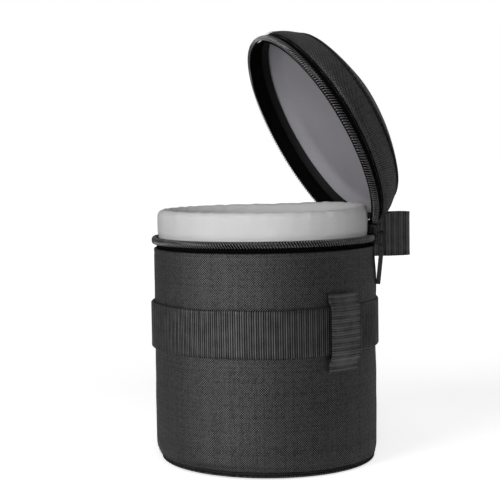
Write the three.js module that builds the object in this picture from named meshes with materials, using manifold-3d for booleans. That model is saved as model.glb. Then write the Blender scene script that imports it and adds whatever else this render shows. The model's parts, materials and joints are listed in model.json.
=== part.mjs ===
// A round padded pouch with a zipped lid, a webbing band and a webbing hang loop.
// Millimetres, +Z up. The origin is the centre of the underside. The lid hinges at the back, +Y,
// and is modelled shut, then turned open about its fabric hinge.

import * as THREE from 'three';
import { mergeVertices } from 'three/addons/utils/BufferGeometryUtils.js';
import Module from 'manifold-3d';

const wasm = await Module();
wasm.setup();

// Clearances
const seatGap = 0.3;
const cutOverrun = 2;

// Body
const bodyRadius = 62;
const shellTop = 120.5;
const shellThickness = 1.2;
const shellHemInset = 0.5;
const shellHemHeight = 5;
const wallFoamThickness = 6.8;
const liningThickness = 0.9;
const floorFoamThickness = 6;

// Base
const baseThickness = 1.4;
const baseEdgeDrop = 7.4;
const baseEdgeRise = 3.3;
const bindingHeight = 3.9;
const bindingDepth = 3;
const bindingInset = 0.5;

// Zip
const tapeShowHeight = 2.3;
const tapeThickness = 1;
const coilHeight = 3.8;
const coilDepth = 2.5;
const coilPitch = 3;
const toothRise = 1.2;
const toothMesh = 0.7;
const bodyZipEndAngle = 19;
const lidZipEndAngle = 33;
const stopLength = 2.4;
const stopInset = 0.8;

// Collar
const collarAboveRim = 15.3;
const collarCrestHeight = 4.5;
const collarClearance = 0.4;

// Lid
const lidOpenAngle = 62;
const lidTapeHeight = 6.6;
const lidSeamHeight = 22;
const lidCrownHeight = 16.7;
const lidSeamInset = 8;
const lidOverhangWidth = 0.6;
const lidThickness = 1;
const lidKneeHeight = 6.5;
const lidLiningClearance = 0.4;
const lidTopFoamThickness = 7.5;
const lidPadEdgeDepth = 1.9;
const lidPipingRadius = 0.6;
const backSqueezeDepth = 3.6;
const backSqueezeAngle = 46;
const backRaiseHeight = 1.9;

// Hinge
const hingeInset = 3.25;
const hingeAboveRim = 4.05;
const hingeHalfAngle = 14;
const hingeThickness = 1.2;

// Webbing band and side tabs
const webbingWidth = 25.4;
const webbingThickness = 1.6;
const bandBottom = 65.3;
const bandStandoff = 0.6;
const tabWidth = 20;
const tabBelowBand = 9.2;
const tabAboveBand = 7.2;
const tabAngle = 68;
const tabSeam = 5;

// Hang loop
const loopReach = 26.5;
const loopBottom = 112;
const loopHalfWidth = 4.6;
const loopSeam = 5;
const loopRootDrop = 8;
const loopShoulderDrop = 3.2;
const loopShoulderReach = 12.4;
const loopShoulderLength = 3.3;

// Slider
const sliderAngle = 26.5;
const sliderLength = 12;
const plateThickness = 1.2;
const outerPlateThickness = 1;
const sliderFlange = 1.5;
const sliderTaper = 0.9;
const sliderCorner = 1.4;
const dividerLength = 1.8;
const dividerHeight = 2.4;
const bridgeLength = 8;
const bridgeBar = 1;
const bridgeWidth = 1.3;

// Pull
const linkWire = 0.9;
const linkSlot = 1.6;
const linkDrop = 6.5;
const linkStandoff = 0.9;
const tongueThickness = 1.4;
const tongueBar = 1.6;
const pullEnd = 28.6;
const pullWidth = 8.5;
const pullTaper = 0.7;
const pullThickness = 2.2;
const pullLeanAngle = 6;

// Facets
const outerSteps = 54;
const innerSteps = 36;
const arcSteps = 5;
const crownSteps = 4;
const curveSteps = 6;

// Shapes that follow their sizes: how the lid's wall leans in,
// how its crown domes, and how the hang loop opens
const wallLeanShare = 2.2;
const wallHeightShares = [0, 0.3, 0.65, 1];
const crownShare = 2;
const loopCurveShares = [0.6, 0.45];

// Sizes worked out from the ones above
const shellInside = bodyRadius - shellThickness;
const foamOutside = shellInside - seatGap;
const foamInside = foamOutside - wallFoamThickness;
const liningOutside = foamInside - seatGap;
const cavityRadius = liningOutside - liningThickness;
const shellBottom = baseEdgeRise + bindingHeight + 2 * seatGap;
const floorTop = baseThickness + seatGap + floorFoamThickness;
const liningFloorBottom = floorTop + seatGap;
const liningBottom = liningFloorBottom + liningThickness + seatGap;
const coilBottom = shellTop + tapeShowHeight;
const rimPlane = coilBottom + coilHeight + seatGap;
const collarTop = rimPlane + collarAboveRim;
const tapeOutside = foamOutside;
const tapeInside = tapeOutside - tapeThickness;
const tapeBottom = shellTop - 2 * seatGap - shellThickness;
const foamTop = tapeBottom - seatGap;
const coilInside = tapeOutside + seatGap;
const coilOutside = coilInside + coilDepth;
const plateInside = tapeInside - seatGap - plateThickness;
const plateOutside = coilOutside + seatGap + outerPlateThickness;
const collarOutside = plateInside - collarClearance;
const hingeY = bodyRadius - hingeInset;
const hingeZ = rimPlane + hingeAboveRim;
const lidBottom = rimPlane + lidTapeHeight;
const lidSeam = rimPlane + lidSeamHeight;
const lidRadius = bodyRadius + lidOverhangWidth;
const lidSeamRadius = bodyRadius - lidSeamInset;
const lidLiningInside = collarOutside + lidLiningClearance;
const lidPadRadius = lidSeamRadius - lidThickness - seatGap - liningThickness;
const bandInside = bodyRadius + bandStandoff;
const bandOutside = bandInside + webbingThickness;
const bandTop = bandBottom + webbingWidth;
const barRadius = plateOutside + linkStandoff + linkWire + linkSlot / 2;

const radians = THREE.MathUtils.degToRad;
const degrees = THREE.MathUtils.radToDeg;

// Merges shared corners, drops flat triangles and turns the faces outwards.
function solid(geometry) {
  const bare = new THREE.BufferGeometry();
  bare.setAttribute('position', geometry.getAttribute('position').clone());
  if (geometry.index) bare.setIndex(geometry.index.clone());
  const merged = mergeVertices(bare);
  const place = merged.getAttribute('position');
  const kept = [];
  let volume = 0;
  const [a, b, c] = [new THREE.Vector3(), new THREE.Vector3(), new THREE.Vector3()];
  for (let i = 0; i < merged.index.count; i += 3) {
    const [p, q, r] = [0, 1, 2].map((k) => merged.index.getX(i + k));
    if (p === q || q === r || r === p) continue;
    a.fromBufferAttribute(place, p);
    b.fromBufferAttribute(place, q);
    c.fromBufferAttribute(place, r);
    volume += a.dot(b.cross(c));
    kept.push(p, q, r);
  }
  if (volume < 0) kept.reverse();
  merged.setIndex(kept);
  return merged;
}

function toManifold(geometry) {
  const ready = solid(geometry);
  return new wasm.Manifold(new wasm.Mesh({
    numProp: 3,
    vertProperties: new Float32Array(ready.getAttribute('position').array),
    triVerts: new Uint32Array(ready.index.array),
  }));
}

function fromManifold(shape) {
  const cut = shape.getMesh();
  const geometry = new THREE.BufferGeometry();
  geometry.setAttribute('position', new THREE.BufferAttribute(cut.vertProperties, 3));
  geometry.setIndex(new THREE.BufferAttribute(cut.triVerts, 1));
  return geometry;
}

// A full ring or disc from a section of [radius, height] points.
function revolve(section, steps) {
  const onAxis = section[0][0] === 0 && section[section.length - 1][0] === 0;
  const outline = onAxis ? section : [...section, section[0]];
  const points = outline.map(([radius, height]) => new THREE.Vector2(radius, height));
  return solid(new THREE.LatheGeometry(points, steps).rotateX(Math.PI / 2));
}

// Evenly spaced values. Azimuths run in degrees from the hinge, +Y, towards +X.
function spread(from, to, steps) {
  return Array.from({ length: steps + 1 }, (_, i) => from + ((to - from) * i) / steps);
}

const wholeTurn = spread(0, 360, outerSteps).slice(0, outerSteps);

// An end cap's triangles, wound to agree with the walls that sweep makes.
function capFaces(section, first, isStart) {
  const outline = section.map(([radius, height]) => new THREE.Vector2(radius, height));
  const area = THREE.ShapeUtils.area(outline);
  return THREE.ShapeUtils.triangulateShape(outline, []).flatMap((corners) => {
    const [p, q, r] = corners.map((k) => outline[k]);
    const turn = (q.x - p.x) * (r.y - p.y) - (q.y - p.y) * (r.x - p.x);
    const followsOutline = turn * area > 0;
    const wound = followsOutline === isStart ? corners.toReversed() : corners;
    return wound.map((k) => first + k);
  });
}

// A solid swept round the upright axis. sectionAt gives the section at each azimuth. A whole
// turn closes on itself, and a part turn has flat ends.
function sweep(sectionAt, stations) {
  const isRing = stations === wholeTurn;
  const sections = stations.map((azimuth, i) => sectionAt(azimuth, i));
  const count = sections[0].length;
  const vertices = sections.flatMap((section, i) => {
    const turn = radians(stations[i]);
    return section.flatMap(([radius, height]) => (
      [radius * Math.sin(turn), radius * Math.cos(turn), height]
    ));
  });
  const faces = [];
  const spans = isRing ? sections.length : sections.length - 1;
  for (let i = 0; i < spans; i += 1) {
    const next = (i + 1) % sections.length;
    for (let k = 0; k < count; k += 1) {
      const along = (k + 1) % count;
      const [a, b] = [i * count + k, i * count + along];
      const [c, d] = [next * count + k, next * count + along];
      faces.push(a, b, c, b, d, c);
    }
  }
  if (!isRing) {
    faces.push(...capFaces(sections[0], 0, true));
    faces.push(...capFaces(sections.at(-1), (sections.length - 1) * count, false));
  }
  const geometry = new THREE.BufferGeometry();
  geometry.setAttribute('position', new THREE.Float32BufferAttribute(vertices, 3));
  geometry.setIndex(faces);
  return solid(geometry);
}

function box(inside, outside, bottom, top) {
  return [[inside, bottom], [outside, bottom], [outside, top], [inside, top]];
}

// Part of an ellipse as [radius, height] points.
function bow([radius, height], reach, rise, from, to, steps) {
  return spread(from, to, steps).map((turn) => [
    radius + reach * Math.cos(radians(turn)),
    height + rise * Math.sin(radians(turn)),
  ]);
}

function extrude(shape, depth) {
  return new THREE.ExtrudeGeometry(shape, { depth, bevelEnabled: false, curveSegments: curveSteps });
}

// Turns an extrusion so that its outline lies in the upright plane that faces +Y.
function faceOutwards(geometry, outside) {
  return geometry.rotateX(Math.PI / 2).translate(0, outside, 0);
}

// Turns an extrusion so that its outline lies in the plane of +Y and +Z, centred on x = 0.
function faceSideways(geometry, width) {
  return geometry.rotateX(Math.PI / 2).rotateZ(Math.PI / 2).translate(-width / 2, 0, 0);
}

function finish(colour, roughness, metalness = 0) {
  return new THREE.MeshStandardMaterial({ color: colour, roughness, metalness });
}

const wovenCloth = finish(0x2b2b2d, 0.9);
const webbing = finish(0x303030, 0.85);
const paleLining = finish(0xc9c9cc, 0.8);
const greyLining = finish(0x8d8d93, 0.8);
const foam = finish(0x6f6f73, 0.95);
const zipCloth = finish(0x1c1c1e, 0.85);
const zipNylon = finish(0x101012, 0.35);
const darkMetal = finish(0x3a3a3d, 0.35, 0.8);
const pullRubber = finish(0x222224, 0.6);

function part(name, geometry, material) {
  const made = new THREE.Mesh(solid(geometry), material.clone());
  made.name = name;
  return made;
}

// Base and outer shell
function basePanel() {
  const edge = bodyRadius - bindingInset;
  const centre = [edge - baseEdgeDrop, baseEdgeRise];
  const outer = bow(centre, baseEdgeDrop, baseEdgeRise, -90, 0, arcSteps);
  const inner = bow(centre, baseEdgeDrop - baseThickness, baseEdgeRise - baseThickness, 0, -90, arcSteps);
  return revolve([[0, 0], ...outer, ...inner, [0, baseThickness]], innerSteps);
}

function baseBinding() {
  const bottom = baseEdgeRise + seatGap;
  const outside = bodyRadius - bindingInset;
  const middle = [outside - bindingDepth / 2, bottom + bindingHeight / 2];
  const half = bow(middle, bindingDepth / 2, bindingHeight / 2, -90, 90, arcSteps - 1);
  const inside = outside - bindingDepth;
  return revolve([[inside, bottom], ...half, [inside, bottom + bindingHeight]], innerSteps);
}

function outerShell() {
  const hem = bodyRadius - shellHemInset;
  const hemTop = shellBottom + shellHemHeight;
  return revolve([
    [hem - shellThickness, shellBottom],
    [hem, shellBottom],
    [bodyRadius, hemTop],
    [bodyRadius, shellTop],
    [shellInside, shellTop],
    [shellInside, hemTop],
  ], outerSteps);
}

// Padding and lining
function wallPad() {
  return revolve([
    [foamInside, shellBottom],
    [foamOutside - shellHemInset, shellBottom],
    [foamOutside, shellBottom + shellHemHeight],
    [foamOutside, foamTop],
    [foamInside, foamTop],
  ], innerSteps);
}

function basePad() {
  const bottom = baseThickness + seatGap;
  const low = bodyRadius - bindingInset - baseEdgeDrop;
  const wide = bodyRadius - bindingInset - bindingDepth - seatGap;
  const side = baseEdgeRise + seatGap;
  return revolve([[0, bottom], [low, bottom], [wide, side], [wide, floorTop], [0, floorTop]], innerSteps);
}

function liningFloor() {
  const top = liningFloorBottom + liningThickness;
  return revolve([
    [0, liningFloorBottom], [liningOutside, liningFloorBottom], [liningOutside, top], [0, top],
  ], innerSteps);
}

// The lining climbs the inner wall, goes over the collar and down its outside to the zip seam.
function liningSleeve() {
  const half = (collarOutside - cavityRadius) / 2;
  const centre = [cavityRadius + half, collarTop - collarCrestHeight];
  const over = bow(centre, half, collarCrestHeight, 180, 0, arcSteps);
  const crest = collarCrestHeight - liningThickness;
  const under = bow(centre, half - liningThickness, crest, 0, 180, arcSteps - 2);
  return revolve([
    [cavityRadius, liningBottom],
    ...over,
    [collarOutside, tapeBottom],
    [collarOutside - liningThickness, tapeBottom],
    ...under,
    [liningOutside, liningBottom],
  ], innerSteps);
}

function collarPad() {
  const inside = liningOutside + seatGap;
  const outside = collarOutside - liningThickness - seatGap;
  const half = (outside - inside) / 2;
  const crown = collarCrestHeight - liningThickness - 2 * seatGap;
  const top = bow([inside + half, collarTop - collarCrestHeight], half, crown, 0, 180, arcSteps - 2);
  return revolve([[inside, tapeBottom], [outside, tapeBottom], ...top], innerSteps);
}

// Zip chain: each half is a cloth tape that carries a toothed coil. The teeth of one half sit in
// the gaps of the other when the lid is shut.
function zipTape(bottom, top, end) {
  return sweep(() => box(tapeInside, tapeOutside, bottom, top), spread(end, 360 - end, outerSteps));
}

// Stations run from tooth tip to gap and on, with a tip opposite the hinge.
function coilStations(end) {
  const halfPitch = degrees(coilPitch / coilOutside) / 2;
  const steps = Math.floor((180 - end) / halfPitch);
  return spread(180 - steps * halfPitch, 180 + steps * halfPitch, 2 * steps);
}

function toothCoil(end, sectionWithTooth) {
  const stations = coilStations(end);
  const middle = (stations.length - 1) / 2;
  return sweep((_, i) => sectionWithTooth((i - middle) % 2 === 0 ? toothRise : 0), stations);
}

function bodyCoil() {
  const gapHeight = rimPlane - seatGap - toothRise + toothMesh / 2;
  return toothCoil(
    bodyZipEndAngle, (rise) => box(coilInside, coilOutside, coilBottom, gapHeight + rise),
  );
}

function lidCoil() {
  const tipHeight = rimPlane + seatGap - toothMesh / 2;
  const top = rimPlane + seatGap + coilHeight;
  return toothCoil(lidZipEndAngle, (rise) => box(coilInside, coilOutside, tipHeight + rise, top));
}

// A crimped stop on the tape, just past the end of a coil.
function zipStop(bottom, top, near) {
  const length = degrees(stopLength / coilOutside);
  return sweep(
    () => box(coilInside, coilOutside - stopInset, bottom + stopInset, top - stopInset),
    [near - length / 2, near + length / 2],
  );
}

const stopOffset = degrees((stopLength / 2 + seatGap) / coilOutside);

// Fabric hinge: a strip on the body and a strip on the lid that meet at the fold.
const hingeStations = spread(-hingeHalfAngle, hingeHalfAngle, arcSteps);

function bodyHingeStrip() {
  const top = hingeZ - hingeThickness + seatGap;
  return sweep(() => box(tapeInside, tapeOutside, tapeBottom, top), hingeStations);
}

function lidHingeStrip() {
  const inside = collarOutside + 2 * seatGap;
  const top = lidBottom + backRaiseHeight - seatGap;
  return sweep(() => box(inside, inside + hingeThickness, hingeZ + seatGap, top), hingeStations);
}

// The lid's wall is drawn in at the back, where the hinge holds it close to the body.
function backShare(azimuth) {
  const away = Math.min(azimuth, 360 - azimuth, backSqueezeAngle);
  return (1 + Math.cos((Math.PI * away) / backSqueezeAngle)) / 2;
}

// The lid's lower edge climbs at the back, to leave room for the parked slider.
function lidWallBottom(azimuth) {
  return lidBottom + backRaiseHeight * Math.min(1, 2 * backShare(azimuth));
}

function lidWallRadius(azimuth, up) {
  const lean = (lidRadius - lidSeamRadius) * up ** wallLeanShare;
  return lidRadius - lean - backSqueezeDepth * backShare(azimuth) * (1 - up);
}

function lidSidewall() {
  return sweep((azimuth) => {
    const bottom = lidWallBottom(azimuth);
    const outer = wallHeightShares.map((up) => (
      [lidWallRadius(azimuth, up), bottom + (lidSeam - bottom) * up]
    ));
    const inner = outer.map(([radius, height]) => [radius - lidThickness, height]);
    return [...outer, ...inner.toReversed()];
  }, wholeTurn);
}

const lidFrontStations = spread(backSqueezeAngle, 360 - backSqueezeAngle, innerSteps);

// The lining stands upright round the collar, and then leans in to meet the ceiling.
const kneeHeight = lidBottom + lidKneeHeight;
const ceilingHeight = lidSeam - lidPadEdgeDepth;
const ceilingRise = lidCrownHeight - lidTopFoamThickness - lidThickness;
const liningTop = ceilingHeight - seatGap;
const liningTopRadius = lidPadRadius + seatGap;

// The wall's radius at the front, on the flat facet that it has at this height.
function lidFacetRadius(height) {
  const up = (height - lidBottom) / (lidSeam - lidBottom);
  const above = Math.max(1, wallHeightShares.findIndex((share) => share >= up));
  const [low, high] = [wallHeightShares[above - 1], wallHeightShares[above]];
  return THREE.MathUtils.mapLinear(up, low, high, lidWallRadius(180, low), lidWallRadius(180, high));
}

function lidWallPad() {
  const inset = lidThickness + seatGap;
  const lining = liningThickness + seatGap;
  const inner = [
    [lidLiningInside + lining, lidBottom],
    [lidLiningInside + lining, kneeHeight],
    [liningTopRadius + lining, liningTop],
  ];
  const outer = [lidBottom, kneeHeight, (kneeHeight + liningTop) / 2, liningTop].map((height) => (
    [lidFacetRadius(height) - inset, height]
  ));
  return sweep(() => [...outer, ...inner.toReversed()], lidFrontStations);
}

// Crown points from the edge to the axis.
function crown(edgeRadius, edgeHeight, rise) {
  return spread(1, 0, crownSteps).map((share) => (
    [edgeRadius * share, edgeHeight + rise * (1 - share ** crownShare)]
  ));
}

function lidTopPanel() {
  const base = lidSeam + seatGap;
  const rise = lidCrownHeight - seatGap - lidThickness;
  const outer = crown(lidSeamRadius, base + lidThickness, rise);
  const inner = crown(lidSeamRadius - lidThickness, base, rise);
  return revolve([...inner.toReversed(), [lidSeamRadius, base], ...outer], outerSteps);
}

function lidPipingRing() {
  const inside = lidSeamRadius + seatGap;
  const middle = [inside, lidSeam + lidPipingRadius];
  return revolve(bow(middle, lidPipingRadius, lidPipingRadius, -90, 90, arcSteps - 1), outerSteps);
}

function lidTopPad() {
  const top = crown(lidPadRadius, lidSeam, lidCrownHeight - lidThickness - 2 * seatGap);
  const bottom = crown(lidPadRadius, ceilingHeight, ceilingRise);
  return revolve([...bottom.toReversed(), ...top], innerSteps);
}

function lidCeiling() {
  const top = crown(lidPadRadius, ceilingHeight - seatGap, ceilingRise);
  const bottom = crown(lidPadRadius, ceilingHeight - seatGap - liningThickness, ceilingRise);
  return revolve([...bottom.toReversed(), ...top], innerSteps);
}

function lidWallLining() {
  const outside = lidLiningInside + liningThickness;
  return sweep(() => [
    [lidLiningInside, lidBottom],
    [outside, lidBottom],
    [outside, kneeHeight],
    [liningTopRadius + liningThickness, liningTop],
    [liningTopRadius, liningTop],
    [lidLiningInside, kneeHeight],
  ], lidFrontStations);
}

// Webbing band, with a tab over it on each side
function webbingBand() {
  return revolve(box(bandInside, bandOutside, bandBottom, bandTop), outerSteps);
}

function sideTab(place) {
  const half = degrees(tabWidth / 2 / bodyRadius);
  const flat = bodyRadius + seatGap;
  const over = bandOutside + seatGap;
  const bottom = bandBottom - tabBelowBand;
  const top = bandTop + tabAboveBand;
  const path = [
    [flat, bottom],
    [flat, bottom + tabSeam],
    [over, bandBottom - seatGap],
    [over, bandTop + seatGap],
    [flat, top - tabSeam],
    [flat, top],
  ];
  const outer = path.map(([radius, height]) => [radius + webbingThickness, height]);
  return sweep(() => [...path, ...outer.toReversed()], spread(place - half, place + half, arcSteps - 1));
}

// Hang loop: webbing folded back on itself, sewn flat at its root. Its upper root corner is
// tucked down, where the lid's back swings past.
function loopOutline(shape, halfWidth, root, rootHalf, flatEnd) {
  const end = bodyRadius + seatGap + loopReach - loopHalfWidth;
  const bulge = (end - flatEnd) / 2;
  const [leave, arrive] = loopCurveShares.map((share) => flatEnd + bulge * share);
  shape.moveTo(rootHalf, root);
  shape.lineTo(rootHalf, flatEnd);
  shape.bezierCurveTo(rootHalf, leave, halfWidth, arrive, halfWidth, flatEnd + bulge);
  shape.absarc(0, end, halfWidth, 0, Math.PI, false);
  shape.lineTo(-halfWidth, flatEnd + bulge);
  shape.bezierCurveTo(-halfWidth, arrive, -rootHalf, leave, -rootHalf, flatEnd);
  shape.lineTo(-rootHalf, root);
  return shape;
}

function hangLoop() {
  const root = bodyRadius + seatGap;
  const seamEnd = root + loopSeam;
  const outline = loopOutline(new THREE.Shape(), loopHalfWidth, root, webbingThickness, seamEnd);
  outline.holes.push(loopOutline(
    new THREE.Path(), loopHalfWidth - webbingThickness, seamEnd, seatGap, seamEnd + webbingThickness,
  ));
  const strip = toManifold(extrude(outline, webbingWidth).translate(0, 0, loopBottom));
  const top = loopBottom + webbingWidth;
  const shoulder = root + loopShoulderReach;
  const tuck = new THREE.Shape([
    new THREE.Vector2(root - cutOverrun, top - loopRootDrop),
    new THREE.Vector2(root, top - loopRootDrop),
    new THREE.Vector2(shoulder, top - loopShoulderDrop),
    new THREE.Vector2(shoulder + loopShoulderLength, top),
    new THREE.Vector2(shoulder + loopShoulderLength, top + cutOverrun),
    new THREE.Vector2(root - cutOverrun, top + cutOverrun),
  ]);
  const width = 2 * (loopHalfWidth + cutOverrun);
  return fromManifold(strip.subtract(toManifold(faceSideways(extrude(tuck, width), width))));
}

// Slider, modelled at the hinge and then turned along the chain. Two plates hold the coils
// between flanges, and the divider joins the plates and parts the coils at the wide end.
function sliderOutline(halfHeight) {
  const half = sliderLength / 2;
  const rear = halfHeight - sliderTaper;
  const shape = new THREE.Shape();
  shape.moveTo(-half, -rear + sliderCorner);
  shape.quadraticCurveTo(-half, -rear, -half + sliderCorner, -rear);
  shape.lineTo(half - sliderCorner, -halfHeight);
  shape.quadraticCurveTo(half, -halfHeight, half, -halfHeight + sliderCorner);
  shape.lineTo(half, halfHeight - sliderCorner);
  shape.quadraticCurveTo(half, halfHeight, half - sliderCorner, halfHeight);
  shape.lineTo(-half + sliderCorner, rear);
  shape.quadraticCurveTo(-half, rear, -half, rear - sliderCorner);
  return shape;
}

function sliderBridge() {
  const half = bridgeLength / 2;
  const top = barRadius + bridgeBar / 2;
  const under = barRadius - bridgeBar / 2;
  const foot = plateOutside - outerPlateThickness / 2;
  const shape = new THREE.Shape();
  shape.moveTo(-half, foot);
  shape.lineTo(-half, under);
  shape.quadraticCurveTo(-half, top, -half + bridgeBar, top);
  shape.lineTo(half - bridgeBar, top);
  shape.quadraticCurveTo(half, top, half, under);
  shape.lineTo(half, foot);
  shape.lineTo(half - bridgeBar, foot);
  shape.lineTo(half - bridgeBar, under);
  shape.lineTo(-half + bridgeBar, under);
  shape.lineTo(-half + bridgeBar, foot);
  return extrude(shape, bridgeWidth).translate(0, 0, rimPlane - bridgeWidth / 2);
}

function sliderBody() {
  const half = degrees(sliderLength / 2 / coilOutside);
  const reach = degrees((sliderLength / 2 + cutOverrun) / coilOutside);
  const channel = coilHeight + 2 * seatGap;
  const halfHeight = channel + sliderFlange;
  const stations = spread(-half, half, arcSteps - 1);
  const cutStations = spread(-reach, reach, arcSteps - 1);
  const slot = halfHeight + cutOverrun;
  const block = toManifold(sweep(
    () => box(plateInside, plateOutside, rimPlane - halfHeight, rimPlane + halfHeight), stations,
  ));
  const coilRoom = toManifold(sweep(
    () => box(tapeInside - seatGap, coilOutside + seatGap, rimPlane - channel, rimPlane + channel),
    cutStations,
  ));
  const tapeRoom = toManifold(sweep(
    () => box(tapeInside - seatGap, coilInside, rimPlane - slot, rimPlane + slot), cutStations,
  ));
  const depth = plateOutside - plateInside + 2 * cutOverrun;
  const outline = toManifold(faceOutwards(
    extrude(sliderOutline(halfHeight), depth), plateOutside + cutOverrun,
  ).translate(0, 0, rimPlane));
  const bottom = rimPlane + toothMesh / 2 + seatGap;
  const divider = toManifold(sweep(
    () => box(plateInside, plateOutside, bottom, bottom + dividerHeight),
    [half - degrees(dividerLength / coilOutside), half],
  ));
  const plates = block.subtract(coilRoom).subtract(tapeRoom);
  const cut = plates.add(divider).intersect(outline);
  return fromManifold(cut.add(toManifold(sliderBridge())));
}

// Pull: a wire link turns on the slider's bridge and carries a moulded tab.
function pullLink() {
  const inner = linkSlot / 2;
  const outer = inner + linkWire;
  const low = -linkDrop;
  const shape = new THREE.Shape();
  shape.absarc(0, 0, outer, 0, Math.PI, false);
  shape.absarc(0, low, outer, Math.PI, 2 * Math.PI, false);
  const slot = new THREE.Path();
  slot.absarc(0, 0, inner, 0, Math.PI, false);
  slot.absarc(0, low, inner, Math.PI, 2 * Math.PI, false);
  shape.holes.push(slot);
  return faceSideways(extrude(shape, linkWire), linkWire);
}

function pullTab() {
  const eyeHalf = linkWire / 2 + seatGap;
  const eyeTop = -linkDrop - linkSlot / 2 + seatGap;
  const eyeBottom = eyeTop - linkWire - 2 * seatGap;
  const half = pullWidth / 2;
  const tongueHalf = half - pullTaper;
  const end = half - pullTaper;
  const gripTop = eyeBottom - tongueBar;
  const tongue = new THREE.Shape();
  tongue.moveTo(-tongueHalf, gripTop - tongueBar);
  tongue.lineTo(tongueHalf, gripTop - tongueBar);
  tongue.lineTo(tongueHalf, eyeTop);
  tongue.quadraticCurveTo(tongueHalf, eyeTop + tongueBar, 0, eyeTop + tongueBar);
  tongue.quadraticCurveTo(-tongueHalf, eyeTop + tongueBar, -tongueHalf, eyeTop);
  const eye = new THREE.Path();
  eye.moveTo(-eyeHalf, eyeBottom);
  eye.lineTo(-eyeHalf, eyeTop);
  eye.lineTo(eyeHalf, eyeTop);
  eye.lineTo(eyeHalf, eyeBottom);
  tongue.holes.push(eye);
  const grip = new THREE.Shape();
  grip.moveTo(-half, gripTop);
  grip.lineTo(-end, -pullEnd + end);
  grip.absarc(0, -pullEnd + end, end, Math.PI, 2 * Math.PI, false);
  grip.lineTo(half, gripTop);
  const thin = toManifold(faceOutwards(extrude(tongue, tongueThickness), tongueThickness / 2));
  const thick = toManifold(faceOutwards(extrude(grip, pullThickness), pullThickness / 2));
  return fromManifold(thin.add(thick));
}

const pouch = new THREE.Group();

pouch.add(
  part('base_panel', basePanel(), wovenCloth),
  part('base_binding', baseBinding(), webbing),
  part('outer_shell', outerShell(), wovenCloth),
  part('wall_foam', wallPad(), foam),
  part('base_foam', basePad(), foam),
  part('lining_floor', liningFloor(), paleLining),
  part('lining_sleeve', liningSleeve(), paleLining),
  part('collar_foam', collarPad(), foam),
  part('body_zip_tape', zipTape(
    tapeBottom, rimPlane - seatGap, bodyZipEndAngle - 2 * stopOffset,
  ), zipCloth),
  part('body_zip_coil', bodyCoil(), zipNylon),
  part('zip_bottom_stop', zipStop(
    coilBottom, rimPlane + coilHeight, bodyZipEndAngle - stopOffset,
  ), darkMetal),
  part('body_top_stop', zipStop(coilBottom, rimPlane, 360 - bodyZipEndAngle + stopOffset), darkMetal),
  part('body_hinge_strip', bodyHingeStrip(), webbing),
  part('webbing_band', webbingBand(), webbing),
  part('side_tab_right', sideTab(tabAngle), webbing),
  part('side_tab_left', sideTab(-tabAngle), webbing),
  part('hang_loop', hangLoop(), webbing),
);

// The lid's pieces are placed shut, inside a group that stands at the hinge and turns them open.
const lid = new THREE.Group();
lid.position.set(0, -hingeY, -hingeZ);
lid.add(
  part('lid_sidewall', lidSidewall(), wovenCloth),
  part('lid_top_panel', lidTopPanel(), wovenCloth),
  part('lid_piping', lidPipingRing(), webbing),
  part('lid_wall_foam', lidWallPad(), foam),
  part('lid_top_foam', lidTopPad(), foam),
  part('lid_ceiling_lining', lidCeiling(), greyLining),
  part('lid_wall_lining', lidWallLining(), greyLining),
  part('lid_zip_tape', zipTape(rimPlane + seatGap, lidBottom - seatGap, lidZipEndAngle), zipCloth),
  part('lid_zip_coil', lidCoil(), zipNylon),
  part('lid_top_stop', zipStop(
    rimPlane + seatGap, rimPlane + seatGap + coilHeight, 360 - lidZipEndAngle + stopOffset,
  ), darkMetal),
  part('lid_hinge_strip', lidHingeStrip(), webbing),
);
const lidHinge = new THREE.Group();
lidHinge.position.set(0, hingeY, hingeZ);
lidHinge.rotation.x = -radians(lidOpenAngle);
lidHinge.add(lid);
pouch.add(lidHinge);

// The pull hangs from the bridge, leaning on the shell below.
const pull = new THREE.Group();
pull.position.set(0, barRadius, rimPlane);
pull.rotation.x = -radians(pullLeanAngle);
pull.add(
  part('pull_link', pullLink(), darkMetal),
  part('pull_tab', pullTab(), pullRubber),
);
const slider = new THREE.Group();
slider.rotation.z = -radians(sliderAngle);
slider.add(part('slider_body', sliderBody(), darkMetal), pull);
pouch.add(slider);

export default pouch;
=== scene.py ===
"""Looks of a round padded pouch: woven wall, padded lining, zip, webbing and an open lid.

Metres, in the frame's own axes: +Z up, the lid hinges at the back, +Y. Azimuths run in
degrees from the hinge, +Y, towards +X. The lid's pieces are modelled shut and then opened."""

import json
import math

import bpy
from mathutils import Matrix, Vector, noise

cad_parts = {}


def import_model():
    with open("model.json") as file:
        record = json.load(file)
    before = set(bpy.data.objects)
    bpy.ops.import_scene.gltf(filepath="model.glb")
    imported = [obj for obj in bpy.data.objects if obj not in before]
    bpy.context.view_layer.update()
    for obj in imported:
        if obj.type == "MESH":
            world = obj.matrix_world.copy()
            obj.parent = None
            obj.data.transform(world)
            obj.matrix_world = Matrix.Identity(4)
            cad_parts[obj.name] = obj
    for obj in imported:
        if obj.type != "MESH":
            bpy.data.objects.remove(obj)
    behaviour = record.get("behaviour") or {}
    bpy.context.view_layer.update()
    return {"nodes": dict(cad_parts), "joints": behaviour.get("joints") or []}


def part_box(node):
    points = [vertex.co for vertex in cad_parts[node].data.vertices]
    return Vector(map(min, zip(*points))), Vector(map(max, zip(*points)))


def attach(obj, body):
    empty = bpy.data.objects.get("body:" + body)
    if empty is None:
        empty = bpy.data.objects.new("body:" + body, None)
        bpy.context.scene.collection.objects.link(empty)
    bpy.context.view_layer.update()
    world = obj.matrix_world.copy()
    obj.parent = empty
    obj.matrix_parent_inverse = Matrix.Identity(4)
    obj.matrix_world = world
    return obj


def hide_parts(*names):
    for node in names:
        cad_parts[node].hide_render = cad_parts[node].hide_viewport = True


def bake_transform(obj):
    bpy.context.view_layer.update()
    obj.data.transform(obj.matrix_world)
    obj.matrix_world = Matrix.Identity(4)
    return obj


MM = 0.001

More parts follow.
